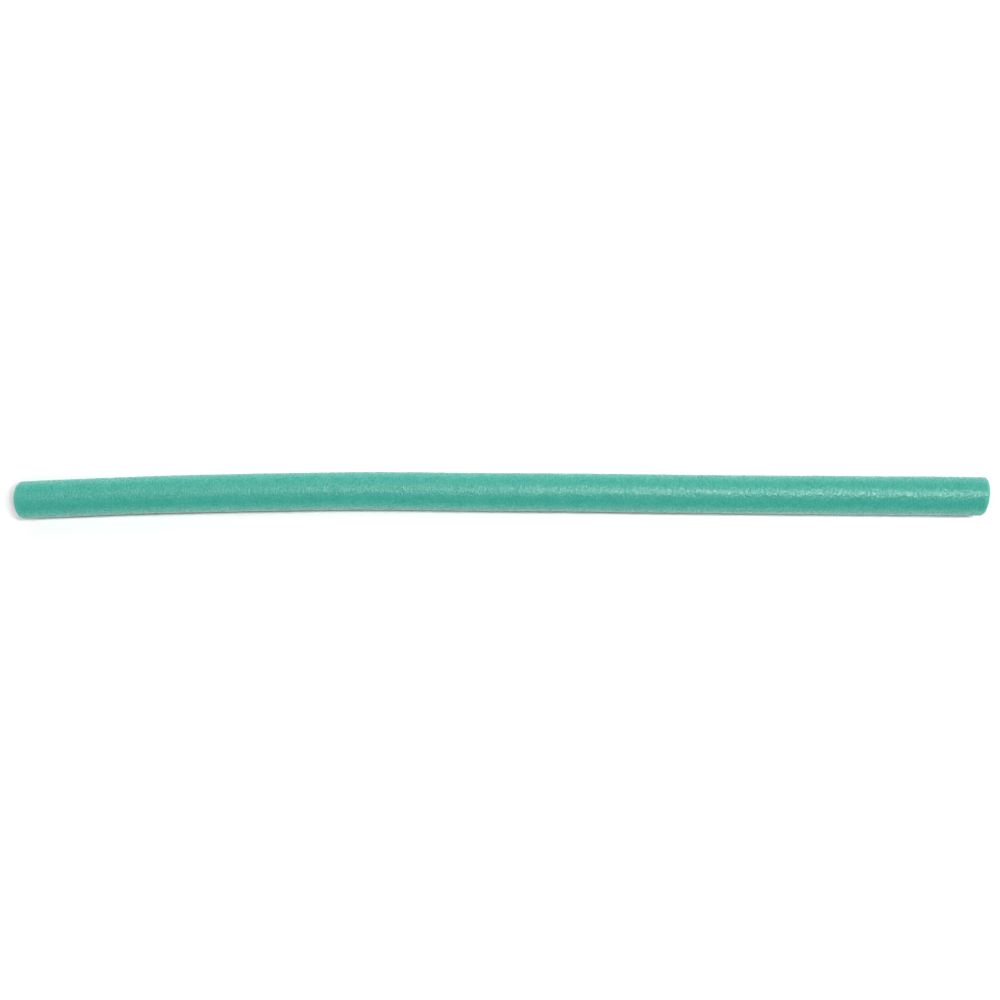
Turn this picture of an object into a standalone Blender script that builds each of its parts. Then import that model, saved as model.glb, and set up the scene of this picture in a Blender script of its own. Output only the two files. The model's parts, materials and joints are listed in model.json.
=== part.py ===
"""A pool noodle: one extruded tube of closed-cell foam, open from end to end.

The noodle lies on its side along X, with Z up. Seen from above it isn't quite straight: two nearly
straight runs meet in a wide, shallow bend nearer its left end, as a foam tube keeps from its packing.
Its left end is cut square, and its right end leans a little in plan. Its underside has a narrow flat,
pressed by its own weight. The origin is on the ground, in the middle of the tube's bounding box.
"""

import math

import bmesh
import bpy
from mathutils import Vector

# Sizes of the tube, in metres
LENGTH = 1.500
DIAMETER = 0.059
BORE_DIAMETER = 0.020

# The cut ends: each saw cut has lost its sharp rim, the left one more than the right
LEFT_RIM_RADIUS = 0.0050
RIGHT_RIM_RADIUS = 0.0030
BORE_RIM_RADIUS = 0.0010

# How far the right cut leans in plan from one made square to the tube
RIGHT_CUT_LEAN_DEGREES = 5

# The bend in plan: how far its corner, drawn sharp, would stand off the line between the ends,
# and where along the tube it starts, has that corner, and ends
BEND_HEIGHT = 0.0147
BEND_START_SHARE = 0.09
BEND_CORNER_SHARE = 0.27
BEND_END_SHARE = 0.42

# How deep the flat that the tube rests on is pressed
REST_DEPTH = 0.0005

# How far a cutter or a cage stands past what it shapes
OVERRUN = 0.010

# A curve's handles reach this share of the way to the corner where the bend is a plain parabola
PARABOLA_HANDLE_SHARE = 2 / 3

# Fineness of the mesh
SIDES = 48
STATIONS = 30
RIM_STEPS = 4
GUIDE_STEPS = 64

# The foam's look
FOAM_COLOUR = (0.07, 0.42, 0.33, 1.0)
FOAM_ROUGHNESS = 0.55
FOAM_METALLIC = 0.0


def clear_scene():
    """Removes every object that the scene starts with."""
    for obj in list(bpy.data.objects):
        bpy.data.objects.remove(obj, do_unlink=True)


def new_collection(name):
    """Adds an empty collection to the scene."""
    collection = bpy.data.collections.new(name)
    bpy.context.scene.collection.children.link(collection)
    return collection


def new_helper(name, data, collection):
    """Adds a guide or a cutter: an object that shapes the tube and isn't part of it."""
    helper = bpy.data.objects.new(name, data)
    helper.hide_render = True
    helper.display_type = "WIRE"
    collection.objects.link(helper)
    return helper


def foam_material():
    """Makes the foam's plain material."""
    material = bpy.data.materials.new("teal_foam")
    material.use_nodes = True
    shader = material.node_tree.nodes["Principled BSDF"]
    shader.inputs["Base Color"].default_value = FOAM_COLOUR
    shader.inputs["Roughness"].default_value = FOAM_ROUGHNESS
    shader.inputs["Metallic"].default_value = FOAM_METALLIC
    return material


def quarter_round(across, along, radius, start_degrees):
    """Gives the points of a quarter circle about (across, along), clockwise from its start."""
    start, quarter = math.radians(start_degrees), math.pi / 2
    angles = [start - quarter * step / RIM_STEPS for step in range(RIM_STEPS + 1)]
    return [(across + radius * math.cos(turn), along + radius * math.sin(turn)) for turn in angles]


def tube_profile():
    """Gives the wall's outline on one side of the axis, as points (distance from axis, place along it).

    The left end is at 0. The outline runs clockwise: over the right rim, along the outside to the
    left rim, and back up the bore.
    """
    outside, bore = DIAMETER / 2, BORE_DIAMETER / 2
    left, right, small = LEFT_RIM_RADIUS, RIGHT_RIM_RADIUS, BORE_RIM_RADIUS
    stations = [LENGTH * station / STATIONS for station in range(1, STATIONS)]
    return [
        *quarter_round(outside - right, LENGTH - right, right, 90),
        *[(outside, station) for station in reversed(stations)],
        *quarter_round(outside - left, left, left, 0),
        *quarter_round(bore + small, small, small, -90),
        *[(bore, station) for station in stations],
        *quarter_round(bore + small, LENGTH - small, small, 180),
    ]


def profile_mesh():
    """Makes the wall's outline as a closed ring of edges in the plane Y = 0."""
    ring = bmesh.new()
    corners = [ring.verts.new((across, 0, along)) for across, along in tube_profile()]
    for first, second in zip(corners, corners[1:] + corners[:1]):
        ring.edges.new((first, second))
    mesh = bpy.data.meshes.new("foam_tube")
    ring.to_mesh(mesh)
    ring.free()
    return mesh


def lean_guide(collection):
    """Makes the cage round the tube's last stretch: its far side leans in plan as the right cut does."""
    cage = bpy.data.lattices.new("lean_guide")
    cage.points_u = cage.points_v = cage.points_w = 2
    cage.interpolation_type_u = cage.interpolation_type_v = cage.interpolation_type_w = "KEY_LINEAR"
    guide = new_helper("lean_guide", cage, collection)
    width, stretch = DIAMETER + 2 * OVERRUN, LENGTH / STATIONS
    guide.scale = (width, width, stretch)
    guide.location = (0, 0, LENGTH - stretch / 2)
    lean = math.tan(math.radians(RIGHT_CUT_LEAN_DEGREES))
    for point in cage.points:
        if point.co.z > 0:
            point.co_deform.z += lean * point.co.x * width / stretch
    return guide


def bend_guide(collection):
    """Makes the line that the tube's axis follows: two straight runs and the wide bend between them."""
    left_end, right_end = Vector((0, 0, 0)), Vector((LENGTH, 0, 0))
    corner = Vector((LENGTH * BEND_CORNER_SHARE, BEND_HEIGHT, 0))
    bend_start = left_end.lerp(corner, BEND_START_SHARE / BEND_CORNER_SHARE)
    bend_end = right_end.lerp(corner, (1 - BEND_END_SHARE) / (1 - BEND_CORNER_SHARE))
    curve = bpy.data.curves.new("bend_guide", "CURVE")
    curve.dimensions = "2D"
    curve.resolution_u = GUIDE_STEPS
    spline = curve.splines.new("BEZIER")
    places = [left_end, bend_start, bend_end, right_end]
    spline.bezier_points.add(len(places) - 1)
    for knot, place in zip(spline.bezier_points, places):
        knot.handle_left_type = knot.handle_right_type = "VECTOR"
        knot.co = place
    first, second = spline.bezier_points[1], spline.bezier_points[2]
    first.handle_right_type = second.handle_left_type = "FREE"
    first.handle_right = bend_start.lerp(corner, PARABOLA_HANDLE_SHARE)
    second.handle_left = bend_end.lerp(corner, PARABOLA_HANDLE_SHARE)
    return new_helper("bend_guide", curve, collection)


def ground_cutter(collection):
    """Makes the block under the tube whose top is the plane that the flat is pressed to."""
    reach = DIAMETER / 2 + OVERRUN
    size = Vector((LENGTH + 2 * OVERRUN, BEND_HEIGHT + 2 * reach, REST_DEPTH + OVERRUN))
    middle = Vector((LENGTH / 2, BEND_HEIGHT / 2, REST_DEPTH - DIAMETER / 2 - size.z / 2))
    block = bmesh.new()
    bmesh.ops.create_cube(block, size=1)
    bmesh.ops.scale(block, vec=size, verts=block.verts)
    bmesh.ops.translate(block, vec=middle, verts=block.verts)
    mesh = bpy.data.meshes.new("ground_cutter")
    block.to_mesh(mesh)
    block.free()
    return new_helper("ground_cutter", mesh, collection)


def foam_tube(collection, cage, guide, cutter):
    """Makes the noodle: a turned wall, leaned at its right cut, bent along the guide and flattened."""
    tube = bpy.data.objects.new("foam_tube", profile_mesh())
    tube.data.materials.append(foam_material())
    collection.objects.link(tube)

    turn = tube.modifiers.new("turn", "SCREW")
    turn.axis = "Z"
    turn.steps = turn.render_steps = SIDES
    turn.use_smooth_shade = True

    lean = tube.modifiers.new("lean", "LATTICE")
    lean.object = cage

    bend = tube.modifiers.new("bend", "CURVE")
    bend.object = guide
    bend.deform_axis = "POS_Z"

    rest = tube.modifiers.new("rest", "BOOLEAN")
    rest.operation = "DIFFERENCE"
    rest.object = cutter
    return tube


def stand_on_origin(tube, shapers):
    """Moves the tube, with what shapes it, until the middle of its bounding box's base is the origin."""
    ground = bpy.data.objects.new("ground_centre", None)
    tube.users_collection[0].objects.link(ground)
    for obj in (tube, *shapers):
        obj.parent = ground
    bpy.context.view_layer.update()
    shaped = tube.evaluated_get(bpy.context.evaluated_depsgraph_get())
    points = [vertex.co for vertex in shaped.data.vertices]
    low = Vector(min(point[axis] for point in points) for axis in range(3))
    high = Vector(max(point[axis] for point in points) for axis in range(3))
    middle = (low + high) / 2
    ground.location = (-middle.x, -middle.y, -low.z)


def main():
    """Builds the noodle."""
    clear_scene()
    noodle = new_collection("pool_noodle")
    helpers = new_collection("helpers")
    shapers = [lean_guide(helpers), bend_guide(helpers), ground_cutter(helpers)]
    tube = foam_tube(noodle, *shapers)
    stand_on_origin(tube, shapers)


main()
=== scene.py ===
"""The looks of a pool noodle: a long round tube of teal closed-cell foam, cut off plainly at both ends.

The noodle is one extrusion, so one mesh stands for it. The outline of its wall is spun round the tube's
axis, worked over as foam is, with a pebbled skin, torn cells on the cuts and a rougher bore, then bent in
plan and set down on the flat that its weight presses. Lengths are in metres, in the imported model's frame.
"""

import json
import logging
import math
from collections.abc import Iterable, Mapping
from dataclasses import dataclass, field
from enum import IntEnum
from typing import Any

import bmesh
import bpy
from mathutils import Euler, Matrix, Vector, noise


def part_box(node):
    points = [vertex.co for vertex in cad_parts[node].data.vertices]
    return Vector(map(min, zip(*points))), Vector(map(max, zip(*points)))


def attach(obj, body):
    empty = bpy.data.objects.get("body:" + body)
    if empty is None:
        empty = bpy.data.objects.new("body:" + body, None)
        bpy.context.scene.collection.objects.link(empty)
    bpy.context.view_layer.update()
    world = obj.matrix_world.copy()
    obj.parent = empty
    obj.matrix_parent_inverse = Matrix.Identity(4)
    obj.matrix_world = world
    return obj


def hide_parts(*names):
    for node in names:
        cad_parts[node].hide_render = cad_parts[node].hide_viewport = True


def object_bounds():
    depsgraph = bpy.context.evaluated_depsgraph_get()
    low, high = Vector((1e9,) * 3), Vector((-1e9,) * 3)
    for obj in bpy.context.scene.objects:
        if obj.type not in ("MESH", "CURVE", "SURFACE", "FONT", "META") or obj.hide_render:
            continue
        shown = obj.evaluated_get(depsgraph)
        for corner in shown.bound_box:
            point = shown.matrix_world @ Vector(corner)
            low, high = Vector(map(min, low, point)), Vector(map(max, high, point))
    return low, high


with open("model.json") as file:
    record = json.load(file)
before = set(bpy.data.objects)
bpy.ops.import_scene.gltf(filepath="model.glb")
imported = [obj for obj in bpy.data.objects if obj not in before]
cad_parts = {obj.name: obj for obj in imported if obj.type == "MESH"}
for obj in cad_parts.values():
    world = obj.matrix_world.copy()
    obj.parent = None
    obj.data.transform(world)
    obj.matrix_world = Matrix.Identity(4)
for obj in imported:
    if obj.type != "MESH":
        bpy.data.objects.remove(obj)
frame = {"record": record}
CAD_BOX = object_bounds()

log = logging.getLogger("noodle")

NODE = "foam_tube"
BAKE_MAP = "OFBake"
RIM_FADE = "rim_fade"
CELL_WALL = "cell_wall"
CAMERA_SENSOR_MM = 36.0

# A length under a hair counts as none. A face counts as a cut where its normal has this much of X.
HAIR = 0.0001
CUT_FACING = 0.999

# The middle of patterns that run from 0 to 1.
MIDDLE = 0.5

# How many cells wide the patches of a loosened pattern are, and over how many cells their shift ranges.
LOOSE_PATCH_CELLS = 3
LOOSE_SHIFT_CELLS = 0.5

Colour = tuple[float, float, float]

WHITE: Colour = (1.0, 1.0, 1.0)


def held(share: float) -> float:
    """Keeps a share between 0 and 1."""
    return min(max(share, 0), 1)


def eased(share: float) -> float:
    """Turns an even rise from 0 to 1 into a smooth step."""
    kept = held(share)
    return kept * kept * (3 - 2 * kept)


class Zone(IntEnum):
    """The three surfaces of the foam, numbered as their material slots are."""

    SKIN = 0
    CUT = 1
    BORE = 2


class End(IntEnum):
    """The tube's two ends, numbered by the way that each one faces along X."""

    LEFT = -1
    RIGHT = 1


@dataclass(frozen=True)
class Signal:
    """What one node gives out. Python's operators on signals add the Math nodes that work them out."""

    graph: "NodeGraph"
    socket: bpy.types.NodeSocket

    def __add__(self, other: Any) -> "Signal":
        """Adds a signal or a number."""
        return self.graph.maths("ADD", self, other)

    def __radd__(self, other: Any) -> "Signal":
        """Adds the signal to a number."""
        return self.graph.maths("ADD", other, self)

    def __sub__(self, other: Any) -> "Signal":
        """Takes a signal or a number away."""
        return self.graph.maths("SUBTRACT", self, other)

    def __rsub__(self, other: Any) -> "Signal":
        """Takes the signal away from a number."""
        return self.graph.maths("SUBTRACT", other, self)

    def __mul__(self, other: Any) -> "Signal":
        """Multiplies by a signal or a number."""
        return self.graph.maths("MULTIPLY", self, other)

    def __rmul__(self, other: Any) -> "Signal":
        """Multiplies a number by the signal."""
        return self.graph.maths("MULTIPLY", other, self)

    def swing(self, share: float, middle: float = MIDDLE) -> "Signal":
        """Gives how far the signal is from its middle, scaled."""
        return (self - middle) * share

    def held(self) -> "Signal":
        """Keeps the signal between 0 and 1."""
        return self.graph.add("ShaderNodeClamp", {}, {"Value": self})


class NodeGraph:
    """A tree of shader nodes."""

    def __init__(self, tree: bpy.types.NodeTree) -> None:
        """Takes the tree that the nodes go into.

        Args:
            tree: a material's or a world's node tree.
        """
        self.tree = tree

    def add(
        self, kind: str, settings: Mapping[str, Any], inputs: Mapping[Any, Any], output: Any = 0
    ) -> Signal:
        """Adds one node of any kind.

        Args:
            kind: the node's type, such as ShaderNodeMath.
            settings: its properties, which are set before its sockets.
            inputs: what goes into its sockets, by name or number: values or signals.
            output: the output to give back, by name or number.

        Returns:
            That output as a signal.
        """
        node = self.tree.nodes.new(kind)
        for name, value in settings.items():
            setattr(node, name, value)
        for key, value in inputs.items():
            self.feed(node.inputs[key], value)
        return Signal(self, node.outputs[output])

    def feed(self, socket: bpy.types.NodeSocket, value: Any) -> None:
        """Links a signal to a socket, or sets the socket's value.

        Args:
            socket: the input to fill.
            value: a signal, a number, or a colour or vector as three numbers.
        """
        if isinstance(value, Signal):
            self.tree.links.new(value.socket, socket)
        elif socket.type == "RGBA":
            socket.default_value = (*value, 1.0)
        else:
            socket.default_value = value

    def maths(self, operation: str, first: Any, second: Any = 0.0) -> Signal:
        """Adds one Math node and gives its result."""
        return self.add("ShaderNodeMath", {"operation": operation}, {0: first, 1: second})

    def part(self, vector: Signal, name: str) -> Signal:
        """Gives a vector's X, Y or Z."""
        return self.add("ShaderNodeSeparateXYZ", {}, {0: vector}, name)

    def ramp(self, value: Signal, start: float, end: float, low: float, high: float) -> Signal:
        """Gives an even rise or fall.

        Args:
            value: what the ramp is read by.
            start: the value up to which it gives low.
            end: the value from which it gives high.
            low: what it starts from.
            high: what it ends at.

        Returns:
            The ramp.
        """
        ends = {"Value": value, "From Min": start, "From Max": end, "To Min": low, "To Max": high}
        return self.add("ShaderNodeMapRange", {}, ends)


class ShaderGraph(NodeGraph):
    """A material's nodes, ending in one Principled shader."""

    def __init__(self, name: str) -> None:
        """Starts a material with no nodes but its shader and its output.

        Args:
            name: the material's name.
        """
        self.material = bpy.data.materials.new(name)
        self.material.use_nodes = True
        super().__init__(self.material.node_tree)
        self.shader = self.tree.nodes["Principled BSDF"]

    def finish(self, **sockets: Any) -> bpy.types.Material:
        """Feeds the shader and gives the material.

        Args:
            sockets: values or signals by the shader's socket names, with _ for each space.

        Returns:
            The finished material.
        """
        for name, value in sockets.items():
            self.feed(self.shader.inputs[name.replace("_", " ")], value)
        return self.material

    def place(self) -> Signal:
        """Gives the object's own coordinates, in metres."""
        return self.add("ShaderNodeTexCoord", {}, {}, "Object")

    def attribute(self, name: str) -> Signal:
        """Gives a number that the mesh carries at its vertices."""
        return self.add("ShaderNodeAttribute", {"attribute_name": name}, {}, "Fac")

    def mix(self, share: Any, first: Any, second: Any) -> Signal:
        """Blends two colours.

        Args:
            share: how much of the second colour shows, from 0 to 1.
            first: a colour or a signal.
            second: a colour or a signal.

        Returns:
            The blend.
        """
        return self.add("ShaderNodeMix", {"data_type": "RGBA"}, {0: share, 6: first, 7: second}, 2)

    def stretched(self, place: Signal, along: float) -> Signal:
        """Scales a place along the tube: under 1, a pattern on it is drawn out, and over 1, squeezed."""
        return self.add("ShaderNodeVectorMath", {"operation": "MULTIPLY"}, {0: place, 1: (along, 1, 1)})

    def cloudy(self, place: Signal, size: float, detail: float = 2.0, output: str = "Fac") -> Signal:
        """Gives soft random patches.

        Args:
            place: where the pattern is read.
            size: how large its patches are, in metres.
            detail: how many finer layers it has.
            output: Fac for a number between 0 and 1, or Color for three of them.

        Returns:
            The pattern.
        """
        inputs = {"Vector": place, "Scale": 1 / size, "Detail": detail}
        return self.add("ShaderNodeTexNoise", {}, inputs, output)

    def cells(self, place: Signal, size: float, output: str = "Distance") -> Signal:
        """Gives a pattern of packed cells.

        Args:
            place: where the pattern is read.
            size: how large a cell is, in metres.
            output: Distance for how far the cell's middle is, or Color for a colour of its own.

        Returns:
            The pattern.
        """
        return self.add("ShaderNodeTexVoronoi", {}, {"Vector": place, "Scale": 1 / size}, output)

    def loosened(self, place: Signal, cell: float) -> Signal:
        """Shifts a place by random parts of a cell, so that cells on it aren't drawn with a ruler.

        Args:
            place: where the pattern is read.
            cell: how large a cell is, in metres.

        Returns:
            The shifted place.
        """
        clouds = self.cloudy(place, LOOSE_PATCH_CELLS * cell, detail=1.0, output="Color")
        shift = self.add("ShaderNodeVectorMath", {"operation": "SUBTRACT"}, {0: clouds, 1: (MIDDLE,) * 3})
        step = {0: shift, 1: (LOOSE_SHIFT_CELLS * cell,) * 3, 2: place}
        return self.add("ShaderNodeVectorMath", {"operation": "MULTIPLY_ADD"}, step)

    def bump(self, height: Signal, depth: float, normal: Signal | None = None) -> Signal:
        """Gives the normal of a surface in relief.

        Args:
            height: the relief, from 0 to 1.
            depth: how far its tops stand over its bottoms, in metres.
            normal: a relief that this one lies on.

        Returns:
            The normal.
        """
        inputs = {"Height": height, "Distance": depth, "Strength": 1.0}
        if normal is not None:
            inputs["Normal"] = normal
        return self.add("ShaderNodeBump", {}, inputs)


@dataclass(frozen=True)
class SkinFinish:
    """The extruded skin: teal, glossy, pebbled by cells with painted shade in their grooves, paler where
    scuffed at the rims.

    The shares say how far each pattern sways the colour from deep to pale. squeeze packs the pebbles along
    the tube, and die_line_draw draws out the faint lines that the die leaves.
    """

    deep: Colour = (0.024, 0.337, 0.261)
    pale: Colour = (0.063, 0.430, 0.346)
    scuffed: Colour = (0.105, 0.490, 0.395)
    peel: float = 0.0040
    peel_depth: float = 0.0012
    cell: float = 0.0034
    cell_depth: float = 0.00025
    grain: float = 0.0009
    grain_depth: float = 0.00004
    squeeze: float = 1.6
    die_line: float = 0.0035
    die_line_draw: float = 0.04
    patch: float = 0.018
    patch_detail: float = 3.0
    patch_share: float = 0.7
    tint_share: float = 0.38
    groove_shade_share: float = 0.2
    groove_shade_middle: float = 0.8
    line_share: float = 0.2
    scuff_share: float = 0.45
    scuff_grain: float = 0.7
    roughness: float = 0.24
    gloss_spread: float = 0.28
    scuff_roughness: float = 0.25
    diffuse_roughness: float = 0.8

    def material(self) -> bpy.types.Material:
        """Makes the skin's material.

        Returns:
            The material.
        """
        graph = ShaderGraph("foam_skin")
        place = graph.place()
        squeezed = graph.stretched(place, self.squeeze)
        loose = graph.loosened(squeezed, self.cell)
        distance = graph.cells(loose, self.cell)
        dome = 1 - distance * distance
        cell_colour = graph.cells(loose, self.cell, "Color")
        tint = graph.add("ShaderNodeSeparateColor", {}, {0: cell_colour}, "Red")
        sheen = graph.add("ShaderNodeSeparateColor", {}, {0: cell_colour}, "Green")
        peel = graph.cloudy(squeezed, self.peel, detail=1.0)
        grain = graph.cloudy(squeezed, self.grain)
        lines = graph.cloudy(graph.stretched(place, self.die_line_draw), self.die_line, detail=1.0)
        patches = graph.cloudy(place, self.patch, self.patch_detail)
        mottle = patches.swing(self.patch_share) + tint.swing(self.tint_share)
        # Painted shade: each cell's dome is painted paler and the groove round it darker.
        share = mottle + dome.swing(self.groove_shade_share, self.groove_shade_middle) + lines.swing(self.line_share)
        scuffs = (graph.attribute(RIM_FADE) * (self.scuff_share + grain * self.scuff_grain)).held()
        colour = graph.mix(scuffs, graph.mix((share + MIDDLE).held(), self.deep, self.pale), self.scuffed)
        roughness = self.roughness + sheen.swing(self.gloss_spread) + scuffs * self.scuff_roughness
        relief = graph.bump(peel, self.peel_depth)
        relief = graph.bump(dome, self.cell_depth, relief)
        relief = graph.bump(grain, self.grain_depth, relief)
        return graph.finish(
            Base_Color=colour, Roughness=roughness, Normal=relief, Diffuse_Roughness=self.diffuse_roughness
        )


@dataclass(frozen=True)
class CutFinish:
    """A cut: matt, with cells torn open and painted shade in their hollows, which are darker than the walls.
    """

    shaded_hollow: Colour = (0.035, 0.300, 0.230)
    wall: Colour = (0.130, 0.560, 0.460)
    cell: float = 0.0011
    cell_depth: float = 0.00020
    patch: float = 0.009
    wall_shade_share: float = 0.55
    cell_shade_share: float = 0.5
    patch_share: float = 0.4
    darkening: float = 0.2
    roughness: float = 0.85
    wall_gloss: float = 0.1

    def material(self) -> bpy.types.Material:
        """Makes the cuts' material.

        Returns:
            The material.
        """
        graph = ShaderGraph("foam_cut")
        place = graph.place()
        distance = graph.cells(graph.loosened(place, self.cell), self.cell)
        patches = graph.cloudy(place, self.patch)
        walls = graph.attribute(CELL_WALL)
        # Painted shade: the cells' hollows are darker than their walls; the patches are random tone.
        lit = walls * self.wall_shade_share + distance * self.cell_shade_share + patches * self.patch_share
        colour = graph.mix((lit - self.darkening).held(), self.shaded_hollow, self.wall)
        relief = graph.bump(distance, self.cell_depth)
        return graph.finish(
            Base_Color=colour, Roughness=self.roughness - walls * self.wall_gloss, Normal=relief
        )


@dataclass(frozen=True)
class BoreFinish:
    """The bore's skin: duller and darker than the outside as painted shade in the tube, ridged by the die's
    pin, with painted shade in the furrows.
    """

    deep: Colour = (0.026, 0.270, 0.205)
    pale: Colour = (0.050, 0.380, 0.295)
    ridge: float = 0.0022
    ridge_draw: float = 0.12
    ridge_depth: float = 0.00020
    ridge_shade_share: float = 0.8
    patch: float = 0.012
    patch_share: float = 0.7
    darkening: float = 0.25
    roughness: float = 0.5
    roughness_spread: float = 0.2

    def material(self) -> bpy.types.Material:
        """Makes the bore's material.

        Returns:
            The material.
        """
        graph = ShaderGraph("foam_bore")
        place = graph.place()
        ridges = graph.cloudy(graph.stretched(place, self.ridge_draw), self.ridge)
        patches = graph.cloudy(place, self.patch)
        # Painted shade: the furrows between the ridges are darker, and the whole bore darker than the skin;
        # the patches are random tone.
        share = ridges * self.ridge_shade_share + patches * self.patch_share - self.darkening
        colour = graph.mix(share.held(), self.deep, self.pale)
        relief = graph.bump(ridges, self.ridge_depth)
        roughness = self.roughness + patches * self.roughness_spread
        return graph.finish(Base_Color=colour, Roughness=roughness, Normal=relief)


@dataclass(frozen=True)
class Relief:
    """One layer of a surface's unevenness: random waves of one size."""

    wave: float
    height: float

    def at(self, place: Vector) -> float:
        """Gives how far the surface stands out at a place, in metres."""
        return self.height * noise.noise(place / self.wave)


@dataclass
class BendLine:
    """The line that the tube's axis follows in plan: two straight runs with a parabola between them.

    The shares are parts of the chord from the left end to the right one. height is how far the corner where
    the runs would meet stands off the chord.
    """

    left: Vector
    right: Vector
    height: float = 0.0147
    start_share: float = 0.09
    corner_share: float = 0.27
    end_share: float = 0.42
    slope_step: float = 0.001

    @property
    def run(self) -> float:
        """The chord's length along X."""
        return self.right.x - self.left.x

    def offset(self, share: float) -> float:
        """Gives how far the line stands off the chord between its ends.

        Args:
            share: how far along the chord, from 0 at the left end to 1 at the right end.

        Returns:
            The distance towards +Y, in metres.
        """
        corner, start, end = self.corner_share, self.start_share, self.end_share
        if share <= start:
            return self.height * share / corner
        if share >= end:
            return self.height * (1 - share) / (1 - corner)
        spread, reach = start - 2 * corner + end, 2 * (corner - start)
        step = (math.sqrt(reach * reach + 4 * spread * (share - start)) - reach) / (2 * spread)
        first, last = self.offset(start), self.offset(end)
        return (1 - step) ** 2 * first + 2 * (1 - step) * step * self.height + step * step * last

    def slope(self, share: float) -> float:
        """Gives the line's slope in plan at a share of the chord."""
        low, high = held(share - self.slope_step), held(share + self.slope_step)
        return (self.offset(high) - self.offset(low)) / ((high - low) * self.run)

    def bent(self, share: float, across: float, height: float) -> Vector:
        """Carries a point of the straight tube to its place on the bent one.

        Args:
            share: how far along the tube it is, from 0 to 1, or a little outside on a leaning cut.
            across: how far it stands off the axis, towards +Y.
            height: how far it stands over the axis.

        Returns:
            Its place in the frame.
        """
        inside = held(share)
        slope = self.slope(inside)
        square = math.hypot(1, slope)
        rise = self.offset(inside) + slope * (share - inside) * self.run
        place = self.left.lerp(self.right, share)
        return place + Vector((-across * slope / square, rise + across / square, height))


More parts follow.
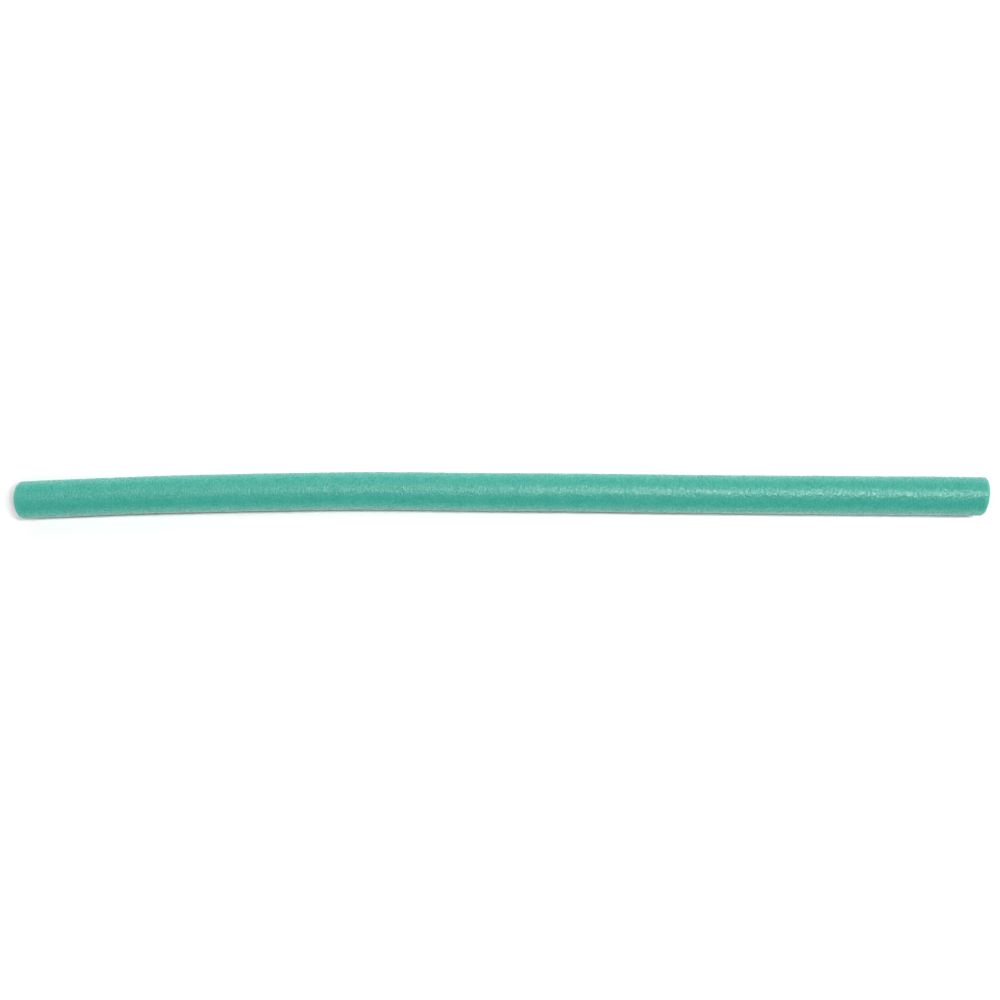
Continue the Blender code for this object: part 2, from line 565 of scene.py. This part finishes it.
@dataclass
class Noodle:
    """The pool noodle, as one mesh with a skin, two cuts and a bore.

    lean_stretch is the length over which the right cut's lean fades out, and rest_ease is how softly the flat
    underneath rounds off. An open cell is at least open_cell_edges edges of the mesh wide, and
    cell_wall_width is a part of a cell. The tears and the scuffs fade out over the two reaches.
    """

    bend: BendLine
    length: float = 1.500
    diameter: float = 0.059
    bore: float = 0.020
    rims: Mapping[End, float] = field(default_factory=lambda: {End.LEFT: 0.0050, End.RIGHT: 0.0030})
    bore_rim: float = 0.0010
    right_lean_degrees: float = 5.0
    lean_stretch: float = 0.050
    rest_ease: float = 0.0008
    sides: int = 128
    stations: int = 480
    bore_stations: int = 64
    cut_rings: int = 20
    rim_steps: int = 7
    sway: Relief = Relief(0.260, 0.0007)
    swells: tuple[Relief, ...] = (Relief(0.110, 0.00030), Relief(0.034, 0.00012))
    pebbles: tuple[Relief, ...] = (Relief(0.0125, 0.00016), Relief(0.0068, 0.00009))
    rim_chips: Relief = Relief(0.0090, 0.00022)
    bore_waves: tuple[Relief, ...] = (Relief(0.030, 0.0006), Relief(0.009, 0.0003))
    saw_waves: tuple[Relief, ...] = (Relief(0.016, 0.0004), Relief(0.0045, 0.00016))
    open_cell: float = 0.0021
    open_cell_depth: float = 0.00042
    open_cell_edges: int = 4
    cell_wall_width: float = 0.35
    tear_fade_reach: float = 0.0050
    rim_fade_reach: float = 0.009

    @property
    def mid_wall(self) -> float:
        """The radius halfway between the bore and the skin."""
        return (self.diameter + self.bore) / 4

    def build(self) -> bpy.types.Object:
        """Makes the noodle and dresses it.

        Returns:
            The finished object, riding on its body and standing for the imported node.
        """
        wall = self.spun_wall()
        self.zone_faces(wall)
        self.part_cells(wall)
        self.lay_bake_map(wall)
        self.mark(wall)
        self.work_over(wall)
        self.set_down(wall)
        mesh = bpy.data.meshes.new("noodle_foam")
        wall.to_mesh(mesh)
        wall.free()
        mesh.shade_smooth()
        for finish in (SkinFinish(), CutFinish(), BoreFinish()):
            mesh.materials.append(finish.material())
        noodle = bpy.data.objects.new("noodle_foam", mesh)
        bpy.context.scene.collection.objects.link(noodle)
        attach(noodle, "root")
        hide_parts(NODE)
        return noodle

    def spun_wall(self) -> bmesh.types.BMesh:
        """Makes the straight tube: the wall's outline with rounded corners, spun round the X axis.

        Returns:
            The tube, with its left end at X = 0.
        """
        wall = bmesh.new()
        outside, bore = self.diameter / 2, self.bore / 2
        places = [(0, outside), (self.length, outside), (self.length, bore), (0, bore)]
        corners = [wall.verts.new((along, 0, height)) for along, height in places]
        for first, second in zip(corners, corners[1:] + corners[:1]):
            wall.edges.new((first, second))
        radii = [self.rims[End.LEFT], self.rims[End.RIGHT], self.bore_rim, self.bore_rim]
        for corner, radius in zip(corners, radii):
            bmesh.ops.bevel(
                wall, geom=[corner], offset=radius, offset_type="OFFSET", affect="VERTICES",
                segments=self.rim_steps, profile=0.5, material=-1,
            )
        for edge in list(wall.edges):
            middle = (edge.verts[0].co + edge.verts[1].co) / 2
            upright = abs(edge.verts[0].co.x - edge.verts[1].co.x) < HAIR
            if edge.calc_length() > self.length / 2:
                cuts = self.stations if middle.z > self.mid_wall else self.bore_stations
            elif upright and bore < middle.z < outside and edge.calc_length() > self.bore_rim:
                cuts = self.cut_rings
            else:
                continue
            bmesh.ops.subdivide_edges(wall, edges=[edge], cuts=cuts)
        bmesh.ops.spin(
            wall, geom=[*wall.verts, *wall.edges], cent=(0, 0, 0), axis=(1, 0, 0),
            angle=math.tau, steps=self.sides, use_merge=True,
        )
        self.put_in_order(wall)
        bmesh.ops.recalc_face_normals(wall, faces=wall.faces)
        return wall

    def put_in_order(self, wall: bmesh.types.BMesh) -> None:
        """Sorts edges and faces by their vertices, because the spin leaves them in a new order each run.

        Args:
            wall: the spun tube.
        """
        wall.verts.index_update()
        for elements in (wall.edges, wall.faces):
            ranked = sorted(elements, key=lambda element: sorted(vertex.index for vertex in element.verts))
            for rank, element in enumerate(ranked):
                element.index = rank
            elements.sort()

    def reach(self, place: Vector) -> float:
        """Gives a straight place's distance from the axis."""
        return math.hypot(place.y, place.z)

    def off_end(self, place: Vector) -> float:
        """Gives a straight place's distance from the nearer end."""
        return min(place.x, self.length - place.x)

    def zone_faces(self, wall: bmesh.types.BMesh) -> None:
        """Gives each face the slot of its surface.

        Args:
            wall: the straight tube.
        """
        for face in wall.faces:
            if abs(face.normal.x) > CUT_FACING:
                face.material_index = Zone.CUT
            elif self.reach(face.calc_center_median()) < self.mid_wall:
                face.material_index = Zone.BORE
            else:
                face.material_index = Zone.SKIN

    def part_cells(self, wall: bmesh.types.BMesh) -> None:
        """Parts the cuts' faces once more round the axis, where the torn cells need it.

        Args:
            wall: the straight tube.
        """
        rings = [edge for edge in wall.edges if self.is_coarse(edge)]
        bmesh.ops.subdivide_edges(wall, edges=rings, cuts=1, use_grid_fill=True)

    def is_coarse(self, edge: bmesh.types.BMEdge) -> bool:
        """Tells whether an edge runs round a cut and is too long for the torn cells.

        Args:
            edge: an edge of the straight tube.

        Returns:
            Whether it has to be parted.
        """
        if all(face.material_index != Zone.CUT for face in edge.link_faces):
            return False
        first, second = (self.reach(vertex.co) for vertex in edge.verts)
        return abs(first - second) < HAIR and edge.calc_length() > self.open_cell / self.open_cell_edges

    def lay_bake_map(self, wall: bmesh.types.BMesh) -> None:
        """Lays the surfaces out on the map that the finish is baked through.

        Args:
            wall: the straight tube.
        """
        sheet = BakeSheet(self)
        layer = wall.loops.layers.uv.new(BAKE_MAP)
        for face in wall.faces:
            middle = face.calc_center_median()
            for loop in face.loops:
                loop[layer].uv = sheet.spot(Zone(face.material_index), middle, loop.vert.co)

    def mark(self, wall: bmesh.types.BMesh) -> None:
        """Writes on the vertices how near a rim is and where the cuts' cell walls stand.

        Args:
            wall: the straight tube.
        """
        fade = wall.verts.layers.float.new(RIM_FADE)
        walls = wall.verts.layers.float.new(CELL_WALL)
        for vertex in wall.verts:
            inset = max(self.diameter / 2 - self.reach(vertex.co), 0)
            off_rim = self.off_end(vertex.co) - inset
            vertex[fade] = eased(1 - off_rim / self.rim_fade_reach)
            vertex[walls] = self.cell_wall(vertex.co)

    def cell_wall(self, place: Vector) -> float:
        """Gives how much a place on a cut lies on a wall between two cells, from 0 to 1."""
        near, far = noise.voronoi(place / self.open_cell)[0][:2]
        return eased(1 - (far - near) / self.cell_wall_width)

    def work_over(self, wall: bmesh.types.BMesh) -> None:
        """Moves the straight tube's vertices as the foam's unevenness does.

        Args:
            wall: the straight tube.
        """
        wall.verts.index_update()
        moves = [self.unevenness(vertex.co.copy()) for vertex in wall.verts]
        for vertex, move in zip(wall.verts, moves):
            vertex.co += move

    def unevenness(self, place: Vector) -> Vector:
        """Gives how far the foam's unevenness moves a point of the straight tube.

        Args:
            place: the point, before it moves.

        Returns:
            The move.
        """
        reach, off_end = self.reach(place), self.off_end(place)
        outward = Vector((0, place.y, place.z)) / reach
        move = Vector((0, self.sway.at(Vector((place.x, 0, 0))), 0))
        if reach < self.mid_wall:
            depth = min(off_end / self.diameter, 1)
            return move + outward * depth * sum(layer.at(place) for layer in self.bore_waves)
        share = (reach - self.mid_wall) / (self.diameter / 2 - self.mid_wall)
        move += outward * sum(layer.at(place) for layer in self.swells) * share
        if off_end < HAIR:
            move.x += self.torn(place) * (1 if place.x < self.length / 2 else -1)
        elif reach > self.diameter / 2 - max(self.rims.values()):
            near_rim = max(1 - off_end / self.rim_fade_reach, 0)
            pebbles = sum(layer.at(place) for layer in self.pebbles)
            move += outward * (pebbles + near_rim * self.rim_chips.at(place))
        return move

    def torn(self, place: Vector) -> float:
        """Gives how deep a cut is torn in at a place: its waves and its open cells.

        Args:
            place: a point of the straight tube's cut.

        Returns:
            The depth, in metres.
        """
        reach = self.reach(place)
        waves = sum(layer.at(place) for layer in self.saw_waves)
        depth = held(min(self.diameter / 2 - reach, reach - self.bore / 2) / self.tear_fade_reach)
        return depth * (waves + self.open_cell_depth * (1 - self.cell_wall(place)))

    def set_down(self, wall: bmesh.types.BMesh) -> None:
        """Leans the right cut, bends the tube in plan, and presses the flat that it rests on.

        Args:
            wall: the worked straight tube.
        """
        lean = math.tan(math.radians(self.right_lean_degrees))
        floor = CAD_BOX[0].z
        for vertex in wall.verts:
            along, across, height = vertex.co
            last = held(1 - (self.length - along) / self.lean_stretch)
            share = (along + last * lean * across) / self.length
            place = self.bend.bent(share, across, height)
            over = place.z - floor
            # Under the floor this comes to almost nothing, and over it to almost the height itself.
            place.z = floor + (over + math.hypot(over, self.rest_ease)) / 2
            vertex.co = place
        lowest = min(vertex.co.z for vertex in wall.verts)
        bmesh.ops.translate(wall, vec=(0, 0, floor - lowest), verts=wall.verts)


@dataclass
class BakeSheet:
    """A square sheet that the noodle's surfaces lie on: the skin and the bore in strips, then the cuts."""

    noodle: Noodle
    strips: int = 5
    strips_in_first_column: int = 3
    gutter: float = 0.005
    bore_scale: float = 0.5
    cut_scale: float = 1.8

    @property
    def strip(self) -> float:
        """The length of one strip of the tube."""
        return self.noodle.length / self.strips

    @property
    def side(self) -> float:
        """The sheet's side: two strips of skin and the gutters round them."""
        return 2 * self.strip + 3 * self.gutter

    @property
    def spare_left(self) -> float:
        """The left side of the sheet's spare corner, beside the first column of strips."""
        return 2 * self.gutter + self.strip

    @property
    def spare_bottom(self) -> float:
        """The bottom of the sheet's spare corner, over the second column's strips."""
        rows = self.strips - self.strips_in_first_column
        return self.gutter + rows * (math.pi * self.noodle.diameter + self.gutter)

    def spot(self, zone: Zone, middle: Vector, place: Vector) -> tuple[float, float]:
        """Gives where a corner of a face lies on the map.

        Args:
            zone: the face's surface.
            middle: the face's middle on the straight tube.
            place: the corner on the straight tube.

        Returns:
            The corner's place on the map, from 0 to 1 each way.
        """
        if zone == Zone.CUT:
            across, up = self.cut_spot(middle, place)
        else:
            across, up = self.strip_spot(zone, middle, place)
        return across / self.side, up / self.side

    def turned(self, middle: Vector, place: Vector) -> float:
        """Gives how far round the tube a corner is, from the seam underneath, as its face counts it."""
        facing = math.atan2(middle.y, -middle.z) % math.tau
        return facing + math.remainder(math.atan2(place.y, -place.z) - facing, math.tau)

    def strip_spot(self, zone: Zone, middle: Vector, place: Vector) -> tuple[float, float]:
        """Lays a corner of the skin or the bore on its strip, with the rims folded out flat.

        Args:
            zone: the face's surface.
            middle: the face's middle on the straight tube.
            place: the corner on the straight tube.

        Returns:
            The corner's place on the sheet, in metres.
        """
        radius = self.noodle.diameter / 2 if zone == Zone.SKIN else self.noodle.bore / 2
        scale = 1.0 if zone == Zone.SKIN else self.bore_scale
        number = min(int(middle.x / self.strip), self.strips - 1)
        fold = abs(radius - self.noodle.reach(place)) * math.copysign(1, middle.x - self.noodle.length / 2)
        along = (place.x + fold - number * self.strip) * scale
        round_tube = self.turned(middle, place) * radius * scale
        if zone == Zone.BORE:
            row_height = math.tau * radius * scale + self.gutter
            return self.spare_left + along, self.spare_bottom + number * row_height + round_tube
        column, row = divmod(number, self.strips_in_first_column)
        left = self.gutter + column * (self.strip + self.gutter)
        return left + along, self.gutter + row * (math.tau * radius + self.gutter) + round_tube

    def cut_spot(self, middle: Vector, place: Vector) -> tuple[float, float]:
        """Lays a corner of a cut on its disc, beside the bore's strips.

        Args:
            middle: the face's middle on the straight tube.
            place: the corner on the straight tube.

        Returns:
            The corner's place on the sheet, in metres.
        """
        width = self.noodle.diameter * self.cut_scale
        row = 0 if middle.x < self.noodle.length / 2 else 1
        left = self.spare_left + self.strip * self.bore_scale + 2 * self.gutter + width / 2
        bottom = self.spare_bottom + row * width + width / 2
        return left + place.y * self.cut_scale, bottom + place.z * self.cut_scale


class Lit(IntEnum):
    """What a softbox lights: the colour of the foam and the floor, or only the gloss on the foam."""

    BODY = 0
    GLOSS = 1


@dataclass(frozen=True)
class Softbox:
    """A rectangular studio light over the noodle, turned to face a point of the frame's X axis.

    along is its place on X, and lean is how many degrees it stands off upright towards +Y, seen from that
    axis. length runs along the noodle and width across it. faces is the point's place on X, if that isn't
    along.
    """

    name: str
    lit: Lit
    along: float
    lean: float
    width: float
    power: float
    height: float = 2.0
    length: float = 1.0
    faces: float | None = None

    def build(self) -> bpy.types.Object:
        """Makes the light, out of the camera's sight.

        Returns:
            The light.
        """
        data = bpy.data.lights.new(self.name, "AREA")
        data.shape = "RECTANGLE"
        data.size = self.length
        data.size_y = self.width
        data.energy = self.power
        light = bpy.data.objects.new(self.name, data)
        place = Vector((self.along, self.height * math.tan(math.radians(self.lean)), self.height))
        target = Vector((self.along if self.faces is None else self.faces, 0, 0))
        back = (place - target).normalized()
        side = (Vector((1, 0, 0)) - back * back.x).normalized()
        turn = Matrix((side, back.cross(side), back)).transposed()
        light.matrix_world = Matrix.Translation(place) @ turn.to_4x4()
        light.visible_camera = False
        light.visible_diffuse = self.lit == Lit.BODY
        light.visible_glossy = self.lit == Lit.GLOSS
        bpy.context.scene.collection.objects.link(light)
        return light


@dataclass(frozen=True)
class Glow:
    """A glow of the floor that rises evenly from nothing between two distances off the noodle."""

    start: float
    end: float
    top: float

    def over(self, distance: Signal) -> Signal:
        """Gives the glow at a distance."""
        return distance.graph.ramp(distance, self.start, self.end, 0.0, self.top)


@dataclass(frozen=True)
class Studio:
    """The room round the noodle: a pale floor, soft light, and the camera over it.

    The floor glows a little beside the noodle, where the photograph's is whiter than the softboxes make it,
    and more where none of them reaches. glow_half is how far the noodle reaches along X. sky_front and
    sky_back are how bright the sky is as a light, towards -Y and towards +Y.
    """

    floor_side: float = 60.0
    floor_albedo: float = 0.95
    glow_half: float = 0.75
    near_glow: Glow = Glow(0.031, 0.037, 0.09)
    far_glow: Glow = Glow(0.10, 0.60, 0.84)
    sky_front: float = 0.324
    sky_back: float = 0.0
    camera_place: tuple[float, float, float] = (0.0973, -0.0089, 1.8562)
    camera_tilt_degrees: float = 2.723
    camera_roll_degrees: float = 0.212
    lens: float = 42.32
    softboxes: tuple[Softbox, ...] = (
        Softbox("key", Lit.BODY, 1.2, lean=8, width=0.25, power=41.5, height=3.5, length=0.5, faces=-0.3),
        Softbox(
            "key_far", Lit.BODY, 1.87, lean=5, width=0.25, power=40.8, height=3.5, length=0.5, faces=-0.3
        ),
        Softbox("fill_right", Lit.BODY, 0.5, lean=5, width=0.14, power=4.7),
        Softbox("fill_left", Lit.BODY, -0.5, lean=5, width=0.14, power=4.6),
        Softbox("fill_far_left", Lit.BODY, -1.5, lean=2, width=0.14, power=8.1),
        Softbox("fill_front", Lit.BODY, 0.5, lean=-25, width=0.37, power=2.2),
        Softbox("fill_back_left", Lit.BODY, -0.5, lean=40, width=0.51, power=7.9),
        Softbox("fill_back_right", Lit.BODY, 0.5, lean=60, width=1.20, power=26.6),
        Softbox("gloss_right", Lit.GLOSS, 0.5, lean=15, width=0.48, power=17.5),
        Softbox("gloss_far_right", Lit.GLOSS, 1.5, lean=11, width=0.48, power=26.0),
        Softbox("gloss_left", Lit.GLOSS, -0.5, lean=0, width=0.14, power=7.5),
        Softbox("gloss_far_left", Lit.GLOSS, -1.5, lean=26, width=0.37, power=10.5),
        Softbox("gloss_back_left", Lit.GLOSS, -1.5, lean=60, width=2.0, power=23.0),
        Softbox("gloss_back_right", Lit.GLOSS, 1.0, lean=52, width=2.6, power=25.0, length=2.4),
        Softbox("gloss_wide", Lit.GLOSS, 0.4, lean=5, width=7.0, power=72.0, height=3.5, length=6.5),
    )

    def build(self) -> None:
        """Makes the floor, the light and the camera."""
        self.lay_floor()
        self.light_room()
        for softbox in self.softboxes:
            softbox.build()
        self.set_camera()

    def lay_floor(self) -> None:
        """Makes the pale floor, which stays white past the softboxes' reach."""
        sheet = bmesh.new()
        bmesh.ops.create_grid(sheet, x_segments=1, y_segments=1, size=self.floor_side / 2)
        mesh = bpy.data.meshes.new("studio_floor")
        sheet.to_mesh(mesh)
        sheet.free()
        graph = ShaderGraph("pale_floor")
        place = graph.place()
        along, across = graph.part(place, "X"), graph.part(place, "Y")
        past_end = graph.maths("MAXIMUM", graph.maths("ABSOLUTE", along) - self.glow_half)
        off_noodle = graph.maths("SQRT", past_end * past_end + across * across)
        glow = self.near_glow.over(off_noodle) + self.far_glow.over(off_noodle)
        pale = (self.floor_albedo,) * 3
        mesh.materials.append(graph.finish(
            Base_Color=pale, Roughness=1.0, Specular_IOR_Level=0.0, Emission_Color=glow, Emission_Strength=1.0
        ))
        floor = bpy.data.objects.new("studio_floor", mesh)
        bpy.context.scene.collection.objects.link(floor)

    def light_room(self) -> None:
        """Makes the sky: white to look at, and as a light brighter towards one side of the noodle."""
        world = bpy.data.worlds.new("soft_studio")
        world.use_nodes = True
        bpy.context.scene.world = world
        bpy.context.scene.view_settings.view_transform = "Standard"
        graph = NodeGraph(world.node_tree)
        direction = graph.add("ShaderNodeTexCoord", {}, {}, "Generated")
        light = graph.ramp(graph.part(direction, "Y"), -1.0, 1.0, self.sky_front, self.sky_back)
        seen = graph.add("ShaderNodeLightPath", {}, {}, "Is Camera Ray")
        background = graph.tree.nodes["Background"]
        graph.feed(background.inputs["Strength"], graph.maths("MAXIMUM", seen, light))
        graph.feed(background.inputs["Color"], WHITE)

    def set_camera(self) -> None:
        """Makes the camera that looks straight down on the noodle, as the photograph's did."""
        data = bpy.data.cameras.new("camera")
        data.lens = self.lens
        data.sensor_width = CAMERA_SENSOR_MM
        camera = bpy.data.objects.new("camera", data)
        camera.location = self.camera_place
        turn = Euler((0, math.radians(self.camera_tilt_degrees), 0)).to_matrix()
        roll = Euler((0, 0, -math.radians(self.camera_roll_degrees))).to_matrix()
        camera.rotation_euler = (turn @ roll).to_euler()
        bpy.context.scene.collection.objects.link(camera)
        bpy.context.scene.camera = camera


def mount_place(name: str) -> Vector:
    """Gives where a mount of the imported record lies."""
    mounts: Iterable[Mapping[str, Any]] = frame["record"]["mounts"]
    return Vector(next(mount["pos_m"] for mount in mounts if mount["name"] == name))


def main() -> None:
    """Builds the noodle and the studio round it."""
    logging.basicConfig(level=logging.INFO, format="%(name)s: %(message)s")
    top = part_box(NODE)[1].z
    left, right = mount_place("left_end"), mount_place("right_end")
    left.z = right.z = top - Noodle.diameter / 2
    noodle = Noodle(BendLine(left, right)).build()
    log.info("%s: %d faces, %d vertices", noodle.name, len(noodle.data.polygons), len(noodle.data.vertices))
    Studio().build()
    log.info("studio: %d softboxes", len(Studio.softboxes))


if __name__ == "__main__":
    main()
